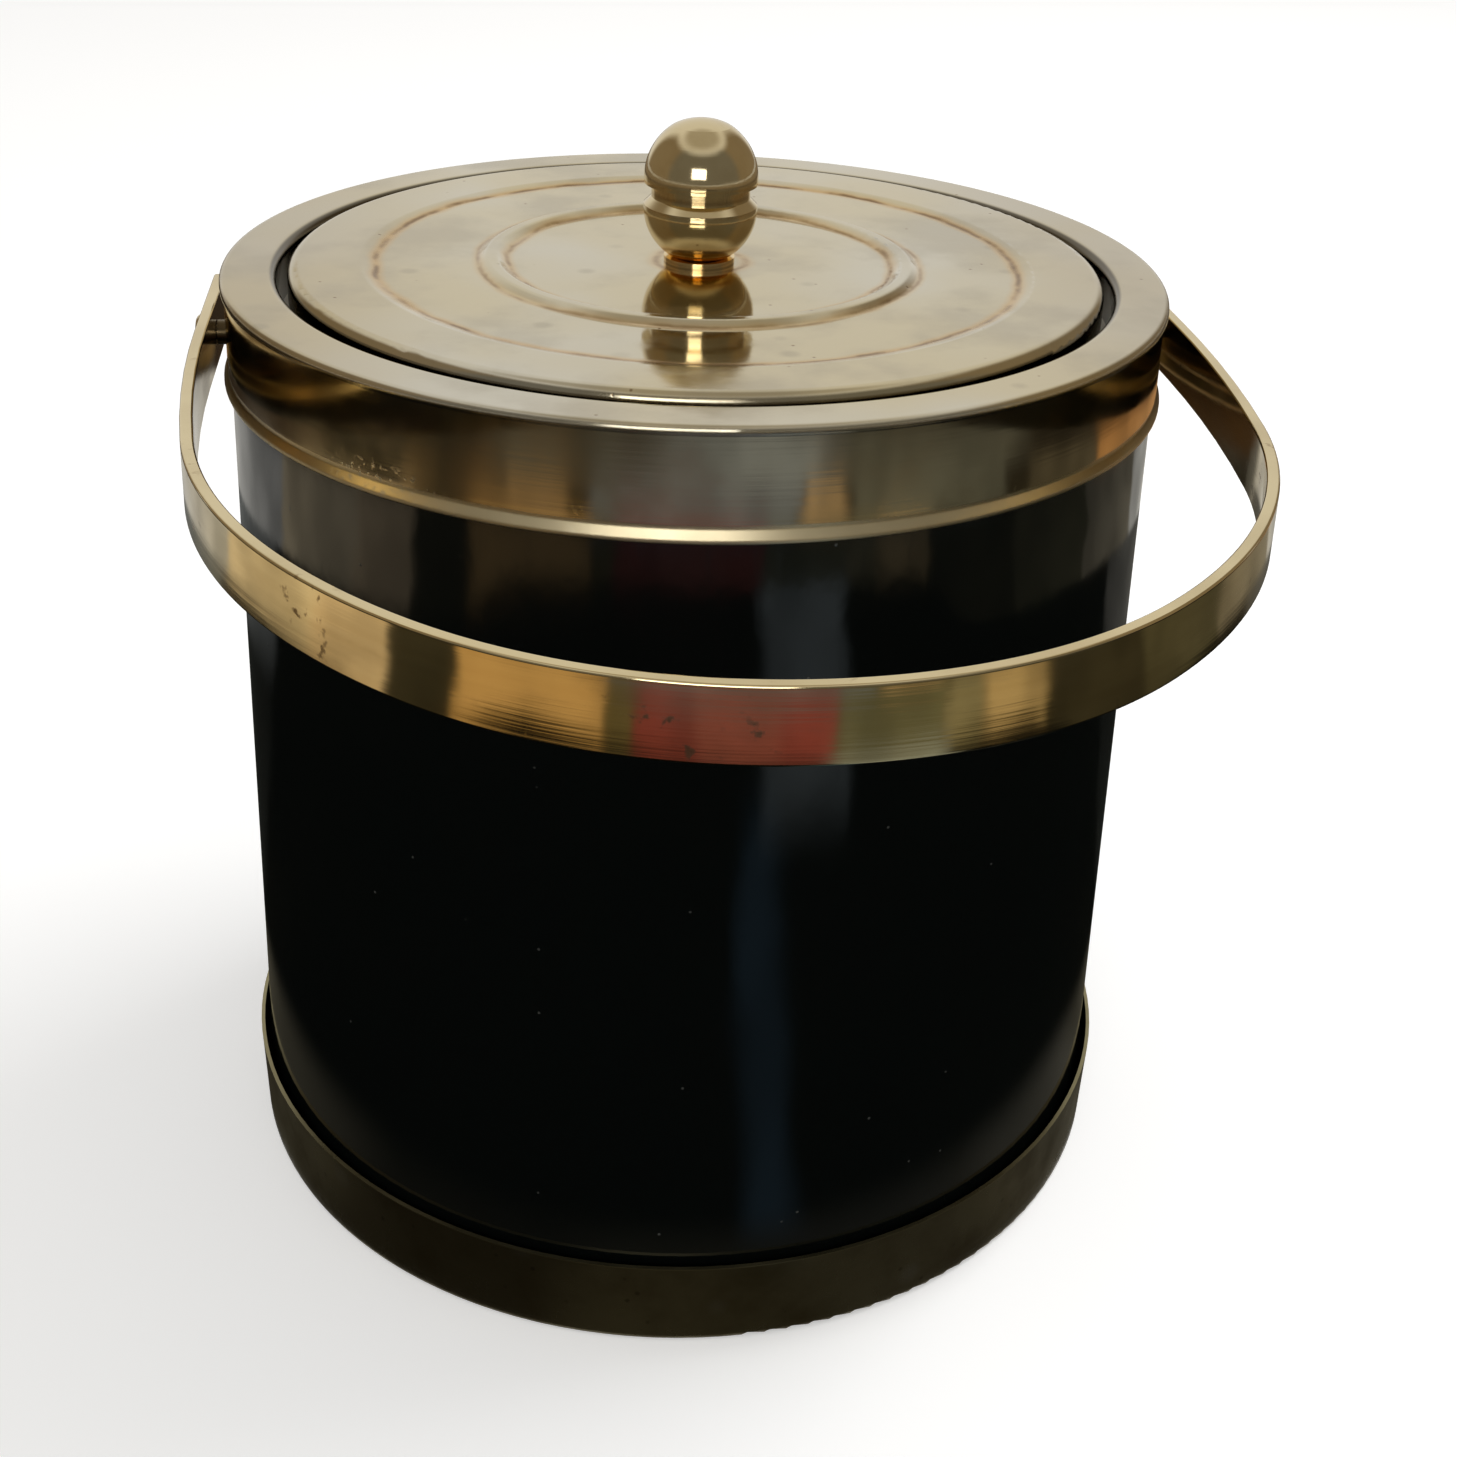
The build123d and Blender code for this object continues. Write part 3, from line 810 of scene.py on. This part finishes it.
def rim_outline(rim):
    """Closed section of the rim ring's sheet, measured from its outer edge."""
    inward, down = Vector((-1, 0)), Vector((0, -1))
    points = []
    for inset, turn in ((0.0, 1), (rim.wall, -1)):
        top = rim.top - inset
        mouth = inset - rim.width
        side = [Vector((-inset, rim.top - rim.lip))]
        side += corner_arc(Vector((-inset, top)), down, inward, rim.lip_fold - inset)
        side += corner_arc(Vector((mouth, top)), -inward, down, rim.mouth_fold - inset)
        side.append(Vector((mouth, rim.bottom)))
        points += side[::turn]
    # the sweep carries an outline's second coordinate downwards
    return [Vector((point.x, -point.y)) for point in reversed(points)]


def line_curve(name, points, closed=False):
    """Curve object through flat points."""
    data = bpy.data.curves.new(name, "CURVE")
    data.dimensions = "3D"
    line = data.splines.new("POLY")
    line.points.add(len(points) - 1)
    line.use_cyclic_u = closed
    for spot, point in zip(line.points, points):
        spot.co = (point.x, point.y, 0, 1)
    holder = bpy.data.objects.new(name, data)
    bpy.context.scene.collection.objects.link(holder)
    return holder


def give(modifier, values):
    """Set a modifier's inputs by their shown names."""
    for item in modifier.node_group.interface.items_tree:
        if item.in_out == "INPUT" and item.name in values:
            modifier[item.identifier] = values[item.name]


def baked(holder, name):
    """Plain mesh object of what a holder's modifiers make; the holder goes."""
    bpy.context.view_layer.update()
    mesh = bpy.data.meshes.new_from_object(
        holder.evaluated_get(bpy.context.evaluated_depsgraph_get())
    )
    bpy.data.objects.remove(holder)
    mesh.name = name
    piece = bpy.data.objects.new(name, mesh)
    bpy.context.scene.collection.objects.link(piece)
    return piece


def start_tree(name, sockets):
    """Node group with the given inputs after its geometry, and the sockets that carry them."""
    tree = bpy.data.node_groups.new(name, "GeometryNodeTree")
    tree.interface.new_socket("Geometry", in_out="INPUT", socket_type="NodeSocketGeometry")
    for title, kind in sockets:
        tree.interface.new_socket(title, in_out="INPUT", socket_type=f"NodeSocket{kind}")
    tree.interface.new_socket("Geometry", in_out="OUTPUT", socket_type="NodeSocketGeometry")
    return tree, add_node(tree, "NodeGroupInput").outputs


def finish_tree(tree, geometry, crease, material):
    """Smooth every edge bent less than crease, realize, give the material and end the group."""
    bend = add_node(tree, "GeometryNodeInputMeshEdgeAngle").outputs["Unsigned Angle"]
    gentle = add_node(
        tree, "FunctionNodeCompare", {0: bend, 1: crease}, operation="LESS_THAN", data_type="FLOAT"
    )
    smooth = add_node(
        tree,
        "GeometryNodeSetShadeSmooth",
        {"Geometry": geometry, "Shade Smooth": gentle.outputs[0]},
        domain="EDGE",
    )
    real = add_node(tree, "GeometryNodeRealizeInstances", {"Geometry": smooth.outputs[0]})
    finish = add_node(
        tree, "GeometryNodeSetMaterial", {"Geometry": real.outputs[0], "Material": material}
    )
    add_node(tree, "NodeGroupOutput", {0: finish.outputs[0]})


def lathe_tree():
    """Carry a closed outline round the upright axis."""
    tree, given = start_tree(
        "lathe", (("Radius", "Float"), ("Steps", "Int"), ("Finish", "Material"))
    )
    circle = add_node(
        tree,
        "GeometryNodeCurvePrimitiveCircle",
        {"Resolution": given["Steps"], "Radius": given["Radius"]},
    )
    level = add_node(tree, "GeometryNodeSetCurveNormal", {"Curve": circle.outputs[0]}, mode="Z_UP")
    swept = add_node(
        tree,
        "GeometryNodeCurveToMesh",
        {"Curve": level.outputs[0], "Profile Curve": given["Geometry"]},
    )
    finish_tree(tree, swept.outputs[0], RIM_CREASE, given["Finish"])
    return tree


class BUCKET_OT_bands(bpy.types.Operator):
    """Brass of the collar band and the aged base pan"""

    bl_idname = "bucket.bands"
    bl_label = "Collar and base"

    def execute(self, context):
        finishes = context.scene.bucket_finishes
        dress(collar_material(), "collar_band")
        dress(pan_material(finishes), "base_pan")
        return {"FINISHED"}


class BUCKET_OT_gilding(bpy.types.Operator):
    """Gold plated lid and the rim ring turned round its axis"""

    bl_idname = "bucket.gilding"
    bl_label = "Rim and lid"

    def execute(self, context):
        plate = plate_material(context.scene.bucket_finishes)
        dress(plate, "lid_cover")
        rim = context.scene.bucket_rim
        outline = line_curve("rim_ring_sheet", rim_outline(rim), closed=True)
        lathe = outline.modifiers.new("lathe", "NODES")
        lathe.node_group = lathe_tree()
        give(lathe, {"Radius": rim.radius, "Steps": rim.steps, "Finish": plate})
        ring = baked(outline, "rim_ring_sheet")
        if len(ring.data.polygons) < rim.steps:
            raise RuntimeError("the lathe made no ring")
        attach(ring, "bucket")
        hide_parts("rim_ring")
        return {"FINISHED"}


class BUCKET_OT_knob(bpy.types.Operator):
    """Turned knob and its gilt foot"""

    bl_idname = "bucket.knob"
    bl_label = "Knob"

    def execute(self, context):
        finishes = context.scene.bucket_finishes
        dress(knob_material(finishes), "knob")
        dress(foot_material(finishes), "knob_foot")
        return {"FINISHED"}


# ---- strap handle ----
PIVOT = Vector((0, 0, sum(corner.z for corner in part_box("pivot_rivet_left")) / 2))
STRAP_CENTRE = 102.8 * MM
SHOULDER_RADIUS, SHOULDER_BEND = 430.0 * MM, radians(8.0)
FLANK_RADIUS, FLANK_BEND = 120.0 * MM, radians(40.6)
BEND_STEP = radians(1.5)
STRAP_CREASE = radians(6)
DRILL_LENGTH = 0.3
FEWEST_FACES = 100


def half_bow(strap):
    """Middle line of the strap's right half, from its end to the front, with z 0 at the pivot."""
    ends = [strap.corner_radius * share for share in (0.0, 0.1, 0.3, 0.6, 1.0)]
    points = [Vector((STRAP_CENTRE, strap.tail - step)) for step in ends]
    points += [Vector((STRAP_CENTRE, strap.tail / 2)), Vector((STRAP_CENTRE, -strap.straight / 2))]
    spot = Vector((STRAP_CENTRE, -strap.straight))
    points.append(spot.copy())
    heading = 0.0
    front_bend = pi / 2 - SHOULDER_BEND - FLANK_BEND
    bends = [(SHOULDER_RADIUS, SHOULDER_BEND), (FLANK_RADIUS, FLANK_BEND), (None, front_bend)]
    for radius, bend in bends:
        radius = radius or spot.x / cos(heading)
        middle = spot - radius * Vector((cos(heading), -sin(heading)))
        steps = round(bend / BEND_STEP)
        for i in range(1, steps + 1):
            turned = heading + bend * i / steps
            points.append(middle + radius * Vector((cos(turned), -sin(turned))))
        heading += bend
        spot = points[-1]
    return points


def strap_tree():
    """Sweep a rounded bar along a curve, round its end corners, drill its pivots and tilt it."""
    lengths = ("Width", "Wall", "Edge Radius", "Corner Radius", "Hole Radius", "Droop")
    sockets = [(name, "Float") for name in lengths]
    tree, given = start_tree("strap_sweep", (*sockets, ("Lift", "Vector"), ("Finish", "Material")))

    # distance to the nearer end of the bar, kept on the curve for the sweep to carry over
    along = add_node(tree, "GeometryNodeSplineParameter").outputs["Length"]
    whole = add_node(tree, "GeometryNodeSplineLength").outputs["Length"]
    rest = add_node(tree, "ShaderNodeMath", {0: whole, 1: along}, operation="SUBTRACT")
    nearer = add_node(tree, "ShaderNodeMath", {0: along, 1: rest.outputs[0]}, operation="MINIMUM")
    kept = add_node(
        tree,
        "GeometryNodeStoreNamedAttribute",
        {"Geometry": given["Geometry"], "Name": "to_end", "Value": nearer.outputs[0]},
        data_type="FLOAT",
        domain="POINT",
    )
    level = add_node(
        tree, "GeometryNodeSetCurveNormal", {"Curve": kept.outputs[0]}, mode="Z_UP"
    )
    bar = add_node(
        tree,
        "GeometryNodeCurvePrimitiveQuadrilateral",
        {"Width": given["Wall"], "Height": given["Width"]},
    )
    rounded = add_node(
        tree,
        "GeometryNodeFilletCurve",
        {"Curve": bar.outputs[0], "Radius": given["Edge Radius"], "Count": 5},
        mode="POLY",
    )
    swept = add_node(
        tree,
        "GeometryNodeCurveToMesh",
        {"Curve": level.outputs[0], "Profile Curve": rounded.outputs[0], "Fill Caps": True},
    )

    # near an end the half width shrinks along a quarter circle of the corner radius
    to_end = add_node(
        tree, "GeometryNodeInputNamedAttribute", {"Name": "to_end"}, data_type="FLOAT"
    ).outputs["Attribute"]
    short = add_node(
        tree, "ShaderNodeMath", {0: given["Corner Radius"], 1: to_end}, operation="SUBTRACT"
    )
    short = add_node(tree, "ShaderNodeMath", {0: short.outputs[0], 1: 0.0}, operation="MAXIMUM")
    squares = [
        add_node(tree, "ShaderNodeMath", {0: value, 1: 2.0}, operation="POWER").outputs[0]
        for value in (given["Corner Radius"], short.outputs[0])
    ]
    chord = add_node(tree, "ShaderNodeMath", {0: squares[0], 1: squares[1]}, operation="SUBTRACT")
    chord = add_node(tree, "ShaderNodeMath", {0: chord.outputs[0]}, operation="SQRT")
    cut = add_node(
        tree,
        "ShaderNodeMath",
        {0: given["Corner Radius"], 1: chord.outputs[0]},
        operation="SUBTRACT",
    )
    half = add_node(tree, "ShaderNodeMath", {0: given["Width"], 1: 0.5}, operation="MULTIPLY")
    share = add_node(
        tree, "ShaderNodeMath", {0: cut.outputs[0], 1: half.outputs[0]}, operation="DIVIDE"
    )
    share = add_node(tree, "ShaderNodeMath", {0: 1.0, 1: share.outputs[0]}, operation="SUBTRACT")
    squeeze = add_node(tree, "ShaderNodeCombineXYZ", {0: 1.0, 1: 1.0, 2: share.outputs[0]})
    spot = add_node(tree, "GeometryNodeInputPosition").outputs[0]
    squeezed = add_node(
        tree, "ShaderNodeVectorMath", {0: spot, 1: squeeze.outputs[0]}, operation="MULTIPLY"
    )
    ends = add_node(
        tree,
        "GeometryNodeSetPosition",
        {"Geometry": swept.outputs[0], "Position": squeezed.outputs[0]},
    )

    drill = add_node(
        tree,
        "GeometryNodeMeshCylinder",
        {"Vertices": 48, "Radius": given["Hole Radius"], "Depth": DRILL_LENGTH},
    )
    across = add_node(
        tree,
        "GeometryNodeTransform",
        {"Geometry": drill.outputs["Mesh"], "Rotation": (0, pi / 2, 0)},
    )
    drilled = add_node(
        tree,
        "GeometryNodeMeshBoolean",
        {"Mesh 1": ends.outputs[0], "Mesh 2": across.outputs[0]},
        operation="DIFFERENCE",
        solver="EXACT",
    )
    tilt = add_node(tree, "ShaderNodeCombineXYZ", {0: given["Droop"]})
    placed = add_node(
        tree,
        "GeometryNodeTransform",
        {"Geometry": drilled.outputs[0], "Translation": given["Lift"], "Rotation": tilt.outputs[0]},
    )
    finish_tree(tree, placed.outputs[0], STRAP_CREASE, given["Finish"])
    return tree


class BUCKET_OT_strap(bpy.types.Operator):
    """Strap handle swept along its bow, in brushed brass"""

    bl_idname = "bucket.strap"
    bl_label = "Strap handle"

    def execute(self, context):
        strap = context.scene.bucket_strap
        right = half_bow(strap)
        left = [Vector((-p.x, p.y)) for p in reversed(right[:-1])]
        path = line_curve("handle_strap_bar", right + left)
        sweep = path.modifiers.new("sweep", "NODES")
        sweep.node_group = strap_tree()
        values = {
            "Width": strap.width,
            "Wall": strap.wall,
            "Edge Radius": strap.edge_radius,
            "Corner Radius": strap.corner_radius,
            "Hole Radius": strap.hole_radius,
            "Droop": strap.droop,
            "Lift": PIVOT,
            "Finish": strap_material(context.scene.bucket_finishes, strap.droop),
        }
        give(sweep, values)
        piece = baked(path, "handle_strap_bar")
        if len(piece.data.polygons) < FEWEST_FACES:
            raise RuntimeError("the strap's sweep made no bar")
        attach(piece, "handle")
        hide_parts("handle_strap")
        return {"FINISHED"}


class BUCKET_OT_pivots(bpy.types.Operator):
    """Rivets and spacers of the handle's pivots"""

    bl_idname = "bucket.pivots"
    bl_label = "Pivots"

    def execute(self, context):
        parts, sides = ("rivet", "spacer"), ("left", "right")
        names = [f"pivot_{part}_{side}" for part in parts for side in sides]
        dress(rivet_material(context.scene.bucket_finishes), *names)
        return {"FINISHED"}


class BUCKET_OT_mouldings(bpy.types.Operator):
    """Ivory plastic of the liner and the lid's underside"""

    bl_idname = "bucket.mouldings"
    bl_label = "Liner and lid lining"

    def execute(self, context):
        dress(ivory_material(context.scene.bucket_finishes), "liner", "lid_liner")
        return {"FINISHED"}


class BUCKET_OT_insulation(bpy.types.Operator):
    """White bead foam inside the walls and lid"""

    bl_idname = "bucket.insulation"
    bl_label = "Insulation"

    def execute(self, context):
        foam = foam_material(context.scene.bucket_finishes)
        dress(foam, "insulation_disc", "insulation_jacket", "lid_insulation")
        return {"FINISHED"}


class BUCKET_OT_fixings(bpy.types.Operator):
    """Plated screws, washers and burrs, and the brass insert"""

    bl_idname = "bucket.fixings"
    bl_label = "Fixings"

    def execute(self, context):
        hidden = ["tie_washer", "tie_screw", "knob_washer", "knob_screw"]
        dress(steel_material(), *hidden, "pivot_burr_left", "pivot_burr_right")
        dress(insert_material(), "tie_insert")
        return {"FINISHED"}


STEPS = (
    BUCKET_OT_stage,
    BUCKET_OT_body,
    BUCKET_OT_bands,
    BUCKET_OT_gilding,
    BUCKET_OT_knob,
    BUCKET_OT_strap,
    BUCKET_OT_pivots,
    BUCKET_OT_mouldings,
    BUCKET_OT_insulation,
    BUCKET_OT_fixings,
)


class BUCKET_PT_panel(bpy.types.Panel):
    """Settings and steps of the ice bucket's looks"""

    bl_idname = "BUCKET_PT_panel"
    bl_label = "Ice bucket"
    bl_space_type = "VIEW_3D"
    bl_region_type = "UI"
    bl_category = "Ice bucket"

    def draw(self, context):
        scene = context.scene
        groups = (scene.bucket_finishes, scene.bucket_rim, scene.bucket_strap, scene.bucket_stage)
        for group in groups:
            box = self.layout.box()
            for name in group.__annotations__:
                box.prop(group, name)
        for step in STEPS:
            self.layout.operator(step.bl_idname)


CLASSES = (BucketFinishes, BucketRim, BucketStrap, BucketStage, *STEPS, BUCKET_PT_panel)


def register():
    for item in CLASSES:
        bpy.utils.register_class(item)
    bpy.types.Scene.bucket_finishes = PointerProperty(type=BucketFinishes)
    bpy.types.Scene.bucket_rim = PointerProperty(type=BucketRim)
    bpy.types.Scene.bucket_strap = PointerProperty(type=BucketStrap)
    bpy.types.Scene.bucket_stage = PointerProperty(type=BucketStage)


def unregister():
    del bpy.types.Scene.bucket_stage
    del bpy.types.Scene.bucket_strap
    del bpy.types.Scene.bucket_rim
    del bpy.types.Scene.bucket_finishes
    for item in reversed(CLASSES):
        bpy.utils.unregister_class(item)


def main():
    """Register the add-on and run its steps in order."""
    register()
    for step in STEPS:
        area, name = step.bl_idname.split(".")
        getattr(getattr(bpy.ops, area), name)()


if __name__ == "__main__":
    main()
